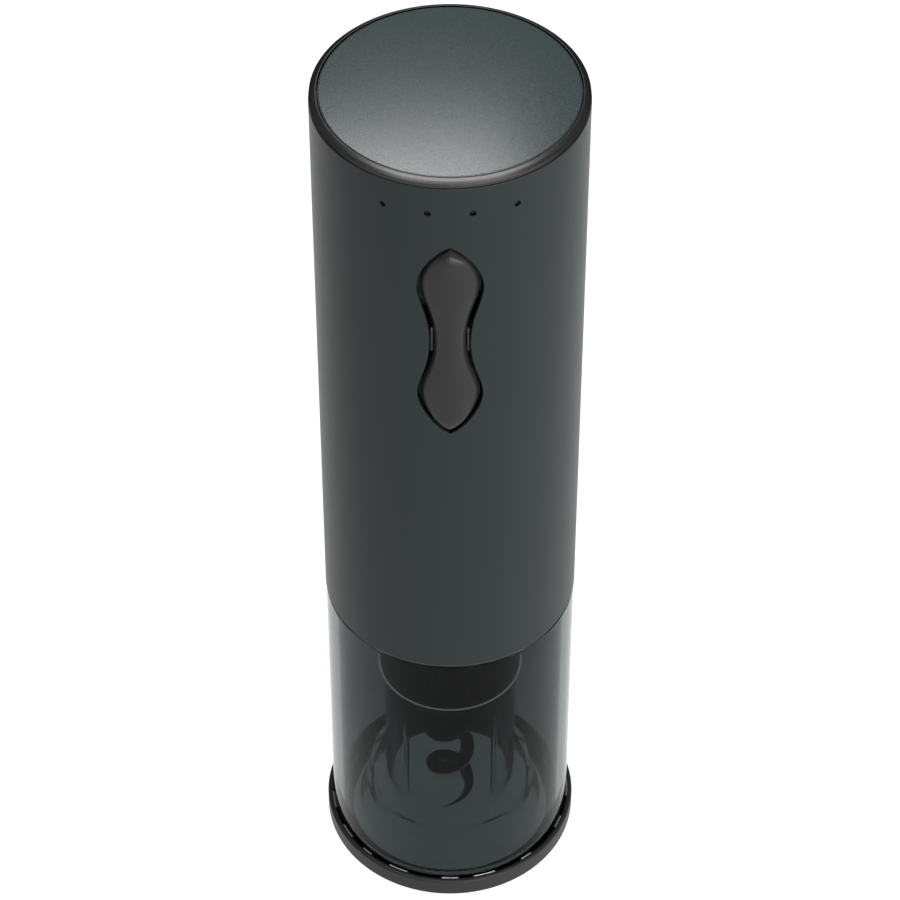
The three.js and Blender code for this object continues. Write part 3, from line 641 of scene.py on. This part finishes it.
def nose():
    """The black housing over the cork tube: a collar, a flare, a wide cup and a wall round the worm."""
    socket_r = CORK_R + CORK_WALL + 0.3
    collar_r, collar_top = 14.06, 56.0
    flare_r, flare_bottom, flare_top = 18.6, 62.0, 66.2
    cup_r, cup_floor = 20.4, 68.6
    well_r, well_floor = 12.9, 58.6
    neck_r, neck_bottom = 9.2, 57.4
    throat_r, throat_bottom = CORK_R + 0.1, 49.2
    return turn("nose", [
        (socket_r, NOSE_BOTTOM, 0.12), (collar_r, NOSE_BOTTOM, 0.2), (collar_r, collar_top, 1.5),
        (flare_r, flare_bottom, 1.0), (flare_r, flare_top, 0.3), (NOSE_R, flare_top, 0.2),
        (NOSE_R, NOSE_TOP, 0.2), (cup_r, NOSE_TOP, 0.2), (cup_r, cup_floor, 0.3),
        (well_r, cup_floor, 0.2), (well_r, well_floor, 0.2), (neck_r, well_floor, 0.2),
        (neck_r, neck_bottom, 0.2), (throat_r, neck_bottom, 0.3),
        (throat_r, throat_bottom, 0.1), (socket_r, throat_bottom, 0.1),
    ], segments=256)


def cap_ring():
    """The gloss ring: a shelf for the disc, a skirt inside the tube and a bevelled rim on top of it."""
    bore, skirt_in, skirt_out = 15.0, 22.0, 22.95
    web_bottom = RING_BOTTOM + 3.5
    seat, side_top, bevel_top = 190.0, 190.74, 191.13
    bevel_r, rim_r = 23.62, 23.12
    pocket_r, shelf = 22.88, 190.4
    return turn("cap_ring", [
        (bore, web_bottom, 0.1), (skirt_in, web_bottom, 0.1), (skirt_in, RING_BOTTOM, 0.15),
        (skirt_out, RING_BOTTOM, 0.15), (skirt_out, seat, 0.05), (RING_R, seat, 0.08),
        (RING_R, side_top, 0.12), (bevel_r, bevel_top, 0.15), (rim_r, RING_TOP, 0.12),
        (pocket_r, RING_TOP, 0.04), (pocket_r, shelf, 0.05), (bore, shelf, 0.1),
    ], segments=288)


def cap_disc():
    """The metal disc, its face divided into rings so that it shades evenly."""
    outline = rounded([
        (0.0, DISC_BOTTOM, 0), (DISC_R, DISC_BOTTOM, 0.05), (DISC_R, DISC_TOP, 0.22), (0.0, DISC_TOP, 0),
    ])
    face_rings = [(r, DISC_TOP) for r in (22.3, 18.0, 12.0, 6.0, 2.0)]
    return to_object(turned_mesh(outline[:-1] + face_rings + outline[-1:], 288), "cap_disc")


# ---- beads --------------------------------------------------------------------------------------
BEAD_SIDES = 12
BEAD_STEPS = 240  # round a whole circle


def bead_loops(bm, radius, z, thick, angles):
    """Loops of vertices round a wire that passes through these angles of a circle, joined in turn."""
    loops = []
    for angle in angles:
        loop = []
        for side in range(BEAD_SIDES):
            a = 2 * math.pi * side / BEAD_SIDES
            r = radius + thick * math.cos(a)
            loop.append(bm.verts.new((r * math.cos(angle), r * math.sin(angle), z + thick * math.sin(a))))
        loops.append(loop)
    bridge_all(bm, loops)
    return loops


def whole_bead(name, radius, z, thick):
    """A ring of wire of radius `thick`."""
    bm = bmesh.new()
    angles = [FRONT + math.pi * (2 * k / BEAD_STEPS - 1) for k in range(BEAD_STEPS)]
    loops = bead_loops(bm, radius, z, thick, angles)
    bridge(bm, loops[-1], loops[0])
    return to_object(bm, name)


def broken_bead(name, radius, z, thick, count, filled):
    """A ring of wire cut into `count` lengths, a little uneven, that fill part of it."""
    wander = 0.08  # radians that a length may lie off its even place
    bm = bmesh.new()
    steps = BEAD_STEPS // count
    for i in range(count):
        middle = FRONT + 2 * math.pi * i / count + wander * math.sin(5.0 * i)
        reach = math.pi / count * filled * (0.75 + 0.25 * math.sin(2.0 * i))
        angles = [middle + reach * (2 * k / steps - 1) for k in range(steps + 1)]
        close_ends(bm, bead_loops(bm, radius, z, thick, angles))
    return to_object(bm, name)


# ---- rocker -------------------------------------------------------------------------------------
ROCKER_END = BUTTON_HALF_LENGTH - BUTTON_CLEARANCE
ROCKER_BACK = -22.4  # y of the flat behind the rocker's face


def rocker_front(x, z, half, outline):
    """The rocker's surface in y: crowned across, falling at both tips and rounded along its edge."""
    rounding = 1.0
    crown = 0.40  # fall from the middle line to the edge, as a share of the half width there
    tip_fall, tip_length = 1.0, 3.2
    gap = np.hypot(outline[:, 0] - x, outline[:, 1] - z).min()
    inside = min(gap, rounding)
    near_tip = max(0.0, (abs(z) - ROCKER_END + tip_length) / tip_length)
    drop = rounding - math.sqrt(max(0.0, rounding**2 - (rounding - inside) ** 2))
    return -(BODY_R + BUTTON_PROUD) + crown * x * x / max(0.01, half) + tip_fall * near_tip**2 + drop


def rocker_plate():
    """The hourglass plate with its shaped face."""
    rows, columns = 150, 48
    outline = hourglass(BUTTON_CLEARANCE)
    right = outline[outline[:, 0] >= 0]
    right = right[np.argsort(right[:, 1])]
    bm = bmesh.new()

    def on_face(x, z):
        half = np.interp(z, right[:, 1], right[:, 0])
        return bm.verts.new((x, rocker_front(x, z, half, outline), BUTTON_Z + z))

    grid = []
    for i in range(1, rows):
        z = -ROCKER_END * math.cos(math.pi * i / rows)
        half = np.interp(z, right[:, 1], right[:, 0])
        across = [half * math.sin(math.pi * (k / columns - 0.5)) for k in range(columns + 1)]
        grid.append([on_face(x, z) for x in across])
    low_tip, high_tip = [on_face(0.0, side * ROCKER_END) for side in (-1, 1)]
    for lower, upper in zip(grid, grid[1:]):
        bridge(bm, lower, upper, closed=False)
    for tip, row in ((low_tip, grid[0]), (high_tip, grid[-1])):
        for k in range(columns):
            bm.faces.new((tip, row[k], row[k + 1]))
    rim = [low_tip] + [row[-1] for row in grid] + [high_tip] + [row[0] for row in reversed(grid)]
    behind = [bm.verts.new((v.co.x, ROCKER_BACK, v.co.z)) for v in rim]
    bridge(bm, rim, behind)
    bm.faces.new(behind)
    return to_object(bm, "rocker")


def pin_hole():
    """A rod along X at the pin's place."""
    half = 10.0
    rod = turn("pin_hole", [
        (0.0, -half, 0), (PIN_HOLE_R, -half, 0), (PIN_HOLE_R, half, 0), (0.0, half, 0),
    ], segments=48)
    rod.rotation_euler = (0.0, math.pi / 2, 0.0)
    rod.location = (0.0, PIN_Y * MM, BUTTON_Z * MM)
    return rod


def block_behind(name, z, half_width, half_height, back, rounding):
    """A block on the back of the rocker's plate, at height z from its middle."""
    into_plate = -22.6
    low = (-half_width, into_plate, BUTTON_Z + z - half_height)
    high = (half_width, back, BUTTON_Z + z + half_height)
    return bevelled_box(name, low, high, rounding)


def rocker():
    """The plate with its hub, its two feet and the hole for its pin."""
    foot_z = 11
    blocks = [block_behind("hub", 0, half_width=2.2, half_height=2.6, back=-19.3, rounding=0.3)]
    for side in (-1, 1):
        blocks.append(block_behind(f"foot_{side}", side * foot_z, half_width=1.5, half_height=1.2,
                                   back=-19.9, rounding=0.2))
    joined = combine(rocker_plate(), blocks, "UNION")
    return combine(joined, [pin_hole()], "DIFFERENCE")


def pivot_lug(side):
    """The rounded shoulder beside the rocker's waist, over the frame's own lug."""
    near, far, half_height = 2.82, 3.54, 2.8
    left, right = (near, far) if side > 0 else (-far, -near)
    low = (left, -23.4, BUTTON_Z - half_height)
    high = (right, -21.4, BUTTON_Z + half_height)
    return bevelled_box("pivot_lug_right" if side > 0 else "pivot_lug_left", low, high, 0.34, segments=6)


# ---- charging socket ----------------------------------------------------------------------------
def socket():
    """A drawn steel shell with round ends, its back closed, and the tongue inside it."""
    half_straight = PORT_HALF_STRAIGHT - 0.1
    outer, inner, lip = 1.6, 1.2, 0.1
    inner_lip = 0.08
    back, floor, mouth = 19.2, 20.6, 23.6
    section = [
        (outer, back), (outer, mouth - lip), (outer - lip, mouth), (inner + inner_lip, mouth),
        (inner, mouth - lip), (inner, floor),
    ]
    bm = bmesh.new()
    loops = []
    for radius, y in section:
        loops.append([bm.verts.new((x, y, PORT_Z + z)) for x, z in stadium(half_straight, radius)])
    bridge_all(bm, loops)
    close_ends(bm, loops)
    shell = to_object(bm, "socket")
    half_width, half_thick, tip = 3.1, 0.35, 23.1
    low = (-half_width, floor - 0.3, PORT_Z - half_thick)
    high = (half_width, tip, PORT_Z + half_thick)
    tongue = bevelled_box("tongue", low, high, 0.1)
    return combine(shell, [tongue], "UNION")


# ---- worm ---------------------------------------------------------------------------------------
def worm_path():
    """Places along the worm from its tip up: the wire's centre, its radius and the way outwards there."""
    steps_per_turn, shank_steps = 60, 6
    closing, grinding = 0.6, 0.34  # turns over which it closes in, and over which it is ground
    sharpest = 0.03  # of the wire's radius, left at the very tip
    tip_lift = 0.05
    turns = (WORM_SHANK_BOTTOM - WORM_BOTTOM) / WORM_PITCH
    count = round(turns * steps_per_turn)
    path = []
    for i in range(count + 1):
        turn_at = turns * i / count
        left = min(1.0, (turns - turn_at) / closing)
        angle = math.radians(WORM_TIP_ANGLE) + 2 * math.pi * turn_at
        ground = min(1.0, turn_at / grinding)
        wire = WIRE_R * max(sharpest, math.sqrt(ground) * (0.35 + 0.65 * ground))
        reach = WORM_RADIUS * left * (2 - left) + (WIRE_R - wire)
        outwards = Vector((math.cos(angle), math.sin(angle), 0.0))
        z = WORM_BOTTOM + tip_lift + turn_at * WORM_PITCH
        path.append((Vector((reach * math.cos(angle), reach * math.sin(angle), z)), wire, outwards))
    for i in range(1, shank_steps + 1):
        z = WORM_SHANK_BOTTOM + (WORM_TOP - WORM_SHANK_BOTTOM) * i / shank_steps
        path.append((Vector((0.0, 0.0, z)), WIRE_R, outwards))
    return path


def worm():
    """A right-handed helix of round wire, ground to a point at its outer side, and its shank."""
    sides = 28
    path = worm_path()
    bm = bmesh.new()
    loops = []
    for i, (centre, wire, outwards) in enumerate(path):
        along = (path[min(i + 1, len(path) - 1)][0] - path[max(i - 1, 0)][0]).normalized()
        across = (outwards - along * outwards.dot(along)).normalized()
        third = along.cross(across)
        loop = []
        for k in range(sides):
            a = 2 * math.pi * k / sides
            loop.append(bm.verts.new(centre + (across * math.cos(a) + third * math.sin(a)) * wire))
        loops.append(loop)
    bridge_all(bm, loops)
    close_ends(bm, loops)
    return to_object(bm, "steel_worm")


# ---- patterns for the finishes ------------------------------------------------------------------
def new_material(name, colour, roughness, metallic=0.0, **sockets):
    """A Principled material with its plain values, and its node tree and shader."""
    material = bpy.data.materials.new(name)
    material.use_nodes = True
    shader = material.node_tree.nodes["Principled BSDF"]
    shader.inputs["Base Color"].default_value = (*colour, 1.0)
    shader.inputs["Roughness"].default_value = roughness
    shader.inputs["Metallic"].default_value = metallic
    for socket_name, value in sockets.items():
        shader.inputs[socket_name.replace("_", " ")].default_value = value
    return material, material.node_tree, shader


def noise(tree, size, detail, stretch=(1.0, 1.0, 1.0)):
    """Noise with features about `size` millimetres across, in the object's own coordinates."""
    place = tree.nodes.new("ShaderNodeTexCoord")
    mapping = tree.nodes.new("ShaderNodeMapping")
    mapping.inputs["Scale"].default_value = stretch
    texture = tree.nodes.new("ShaderNodeTexNoise")
    texture.inputs["Scale"].default_value = 1.0 / (size * MM)
    texture.inputs["Detail"].default_value = detail
    tree.links.new(place.outputs["Object"], mapping.inputs["Vector"])
    tree.links.new(mapping.outputs["Vector"], texture.inputs["Vector"])
    return texture.outputs["Fac"]


def spread(tree, source, low, high, target):
    """Feeds a pattern to a number socket, between two values."""
    node = tree.nodes.new("ShaderNodeMapRange")
    node.inputs["From Min"].default_value = 0.1
    node.inputs["From Max"].default_value = 0.9
    node.inputs["To Min"].default_value = low
    node.inputs["To Max"].default_value = high
    tree.links.new(source, node.inputs["Value"])
    tree.links.new(node.outputs["Result"], target)


def tint(tree, source, colour, contrast, target):
    """Feeds a pattern to a colour socket: the colour made darker and lighter by the contrast."""
    ramp = tree.nodes.new("ShaderNodeValToRGB")
    positions, factors = (0.3, 0.7), (1 - contrast, 1 + contrast)
    for element, position, factor in zip(ramp.color_ramp.elements, positions, factors):
        element.position = position
        element.color = (*(min(1.0, c * factor) for c in colour), 1.0)
    tree.links.new(source, ramp.inputs["Fac"])
    tree.links.new(ramp.outputs["Color"], target)


def bump(tree, shader, source, depth):
    """Relief `depth` millimetres deep from a pattern."""
    node = tree.nodes.new("ShaderNodeBump")
    node.inputs["Strength"].default_value = 1.0
    node.inputs["Distance"].default_value = depth * MM
    tree.links.new(source, node.inputs["Height"])
    tree.links.new(node.outputs["Normal"], shader.inputs["Normal"])


# ---- finishes -----------------------------------------------------------------------------------
def grained(name, colour, roughness, grain, contrast, relief, metallic=0.0, **sockets):
    """A surface whose grain varies its colour and relief, and whose roughness drifts more slowly."""
    drift, drift_size = 0.03, grain * 40
    material, tree, shader = new_material(name, colour, roughness, metallic, **sockets)
    fine = noise(tree, grain, 3.0)
    slow = noise(tree, drift_size, 2.0)
    tint(tree, fine, colour, contrast, shader.inputs["Base Color"])
    spread(tree, slow, roughness * (1 - drift), roughness * (1 + drift), shader.inputs["Roughness"])
    bump(tree, shader, fine, relief)
    return material


def drawn(name, colour, roughness):
    """Metal with fine lines along Z."""
    line_width, line_stretch = 0.12, (1.0, 1.0, 0.03)
    material, tree, shader = new_material(name, colour, roughness, 1.0)
    lines = noise(tree, line_width, 3.0, line_stretch)
    tint(tree, lines, colour, 0.12, shader.inputs["Base Color"])
    spread(tree, lines, roughness * 0.8, roughness * 1.25, shader.inputs["Roughness"])
    bump(tree, shader, lines, 0.002)
    return material


def smoky(name, passed, index):
    """Clear tinted plastic with a smooth surface: a wall passes the share `passed` of each colour."""
    material, tree, shader = new_material(name, passed, 0.0, IOR=index, Transmission_Weight=1.0)
    tint(tree, noise(tree, 9.0, 2.0), passed, 0.04, shader.inputs["Base Color"])
    return material


def anodised():
    """The body's fine matt grey-green."""
    return grained("anodised", (0.0110, 0.0145, 0.0145), 0.38, 0.16, 0.10, 0.003, Specular_IOR_Level=0.10)


def gloss_black():
    """The cap ring's soft gloss, kept dark where it is seen edge on."""
    return grained("gloss_black", (0.046, 0.0455, 0.0455), 0.30, 0.3, 0.1, 0.001, 0.9,
                   Specular_IOR_Level=0.2, Specular_Tint=(0.12, 0.12, 0.12, 1.0))


def button_black():
    """The rocker's smooth black plastic."""
    return grained("button", (0.0145, 0.0145, 0.0145), 0.32, 0.2, 0.08, 0.001, Specular_IOR_Level=0.12)


def satin_black():
    """The foot ring's satin black plastic."""
    return grained("satin_black", (0.012, 0.012, 0.012), 0.42, 0.25, 0.12, 0.003, Specular_IOR_Level=0.16)


def rim_glow_highlight():
    """Painted highlight on the nose's rims: a light colour that glows a little, since the smoky wall takes
    away most of the lamps' light.
    """
    return grained("rim_glow_highlight", (0.60, 0.66, 0.66), 0.3, 0.5, 0.05, 0.0,
                   Emission_Color=(0.80, 1.0, 1.0, 1.0), Emission_Strength=0.45)


def lamp_dark():
    """The face of an unlit lamp."""
    return grained("lamp", (0.004, 0.004, 0.005), 0.3, 0.5, 0.1, 0.002, Specular_IOR_Level=0.1)


# Colour, roughness, grain size in mm, contrast, relief in mm and metallic share.
PLAIN_GRAINED = {
    "disc": ((0.0145, 0.0235, 0.0235), 0.215, 0.20, 0.25, 0.005, 0.0),
    "nose_black": ((0.012, 0.012, 0.012), 0.16, 0.6, 0.06, 0.0, 0.0),
    # painted glints: the light colours of the broken beads at the sleeve's foot and inside the guide
    "painted_glint_sleeve": ((0.19, 0.22, 0.22), 0.3, 0.3, 0.1, 0.002, 0.5),
    "painted_glint_guide": ((0.60, 0.66, 0.66), 0.3, 0.3, 0.1, 0.002, 0.5),
    "rubber": ((0.014, 0.014, 0.014), 0.85, 0.4, 0.2, 0.01, 0.0),
    "zinc": ((0.34, 0.35, 0.36), 0.42, 0.5, 0.15, 0.01, 0.9),
    "gear_white": ((0.74, 0.70, 0.62), 0.45, 0.6, 0.05, 0.004, 0.0),
    "frame_grey": ((0.020, 0.021, 0.022), 0.55, 0.5, 0.15, 0.01, 0.0),
    "board_green": ((0.012, 0.09, 0.04), 0.4, 0.8, 0.2, 0.01, 0.0),
    "cell_wrap": ((0.02, 0.09, 0.28), 0.35, 2.0, 0.08, 0.004, 0.0),
    "lead_red": ((0.35, 0.012, 0.012), 0.5, 0.5, 0.1, 0.006, 0.0),
    "lead_black": ((0.012, 0.012, 0.012), 0.5, 0.5, 0.1, 0.006, 0.0),
    "magnet": ((0.035, 0.035, 0.038), 0.7, 0.4, 0.3, 0.01, 0.2),
}


def make_finishes():
    """All the finishes by name."""
    finishes = {name: grained(name, *values) for name, values in PLAIN_GRAINED.items()}
    finishes.update({
        "anodised": anodised(),
        "gloss_black": gloss_black(),
        "button": button_black(),
        "satin_black": satin_black(),
        "rim_glow_highlight": rim_glow_highlight(),
        "lamp": lamp_dark(),
        "smoke": smoky("smoke", (0.146, 0.164, 0.164), 1.135),
        "guide_smoke": smoky("guide_smoke", (0.22, 0.26, 0.26), 1.25),
        "steel": drawn("steel", (0.56, 0.57, 0.58), 0.22),
        "worm_steel": drawn("worm_steel", (0.50, 0.51, 0.52), 0.2),
        "brass": drawn("brass", (0.55, 0.38, 0.14), 0.3),
    })
    return finishes


# The finish of each CAD node that stays, by the start of its name.
NODE_FINISHES = {
    "helix_sleeve": "gear_white", "thrust_washer": "steel", "drive_tube": "zinc", "worm_carriage": "zinc",
    "carriage_pin": "steel", "ring_gear": "gear_white", "first_planet": "gear_white",
    "second_planet": "gear_white", "third_planet": "zinc", "first_carrier": "zinc",
    "second_carrier": "zinc", "motor_pinion": "brass", "motor_plate": "zinc", "motor_screw": "steel",
    "motor_can": "zinc", "motor_magnet": "magnet", "motor_rotor": "steel", "motor_end_bell": "satin_black",
    "frame_front": "frame_grey", "frame_rear": "frame_grey", "frame_screw": "steel",
    "main_board": "board_green", "charge_led": "lamp", "light_guide": "lamp", "upper_switch": "satin_black",
    "lower_switch": "satin_black", "upper_plunger": "brass", "lower_plunger": "brass",
    "rocker_pin": "steel", "battery_cell": "cell_wrap", "battery_lead_red": "lead_red",
    "battery_lead_black": "lead_black", "motor_lead_red": "lead_red", "motor_lead_black": "lead_black",
    "charge_cable": "lead_black",
}


# ---- assembly -----------------------------------------------------------------------------------
def place(made, finish, body, slot_name, *nodes):
    """Gives a new piece its finish and its body, and hides the CAD nodes that it stands for; its slot name
    is not used.
    """
    made.data.materials.clear()
    made.data.materials.append(finish)
    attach(made, body)
    if nodes:
        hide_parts(*nodes)


def place_beads(finishes):
    """Painted highlights: the glowing rims of the nose, and short light-coloured marks round the foot of
    the sleeve in place of glints.
    """
    # painted highlight: glowing beads on the nose's rims
    place(whole_bead("nose_bead_low", 14.2, NOSE_BOTTOM + 0.1, 0.16), finishes["rim_glow_highlight"],
          "housing", "bright_steel")
    place(whole_bead("nose_bead_high", 14.3, 57.0, 0.12), finishes["rim_glow_highlight"], "housing", "bright_steel")
    # painted glints: light-coloured broken beads round the sleeve's foot and inside the guide's flange
    place(broken_bead("sleeve_beads", SLEEVE_R + 0.14, 4.4, 0.12, 17, 0.5), finishes["painted_glint_sleeve"],
          "housing", "smoke_clear")
    place(broken_bead("guide_beads", 21.6, 4.1, 0.15, 19, 0.6), finishes["painted_glint_guide"],
          "housing", "smoke_clear")


def dress_nodes(finishes):
    """Gives each CAD node a finish in its own material slots."""
    for name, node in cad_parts.items():
        kinds = [kind for kind in NODE_FINISHES if name.startswith(kind)]
        if not kinds:
            continue
        for slot in node.material_slots:
            slot.material = finishes[NODE_FINISHES[max(kinds, key=len)]]


def build():
    """Makes every piece in its place, and dresses the CAD nodes that stay."""
    finishes = make_finishes()
    place(body_tube(), finishes["anodised"], "housing", "anodised_shell", "body_shell")
    place(cap_disc(), finishes["disc"], "housing", "disc_metal", "top_disc")
    place(cap_ring(), finishes["gloss_black"], "housing", "gloss_black", "top_ring")
    place(rocker(), finishes["button"], "rocker", "button_black", "rocker_button")
    for side in (-1, 1):
        place(pivot_lug(side), finishes["gloss_black"], "housing", "gloss_black")
    place(foot_ring(), finishes["satin_black"], "housing", "satin_black", "base_ring")
    place(foot_pad(), finishes["rubber"], "housing", "rubber_black", "base_pad")
    place(seal_ring(), finishes["rubber"], "housing", "rubber_black", "sleeve_seal")
    place(chamber_sleeve(), finishes["smoke"], "housing", "smoke_clear", "clear_sleeve")
    place(cork_guide(), finishes["guide_smoke"], "housing", "smoke_clear", "bottle_guide")
    place(nose(), finishes["nose_black"], "housing", "satin_black", "nose_housing")
    place_beads(finishes)
    place(worm(), finishes["worm_steel"], "feed", "bright_steel", "worm")
    place(socket(), finishes["steel"], "housing", "bright_steel", "charge_socket")
    dress_nodes(finishes)


make_camera()
make_world()
make_floor()
for lamp_name, lamp_values in LAMPS.items():
    make_lamp(lamp_name, *lamp_values)
build()
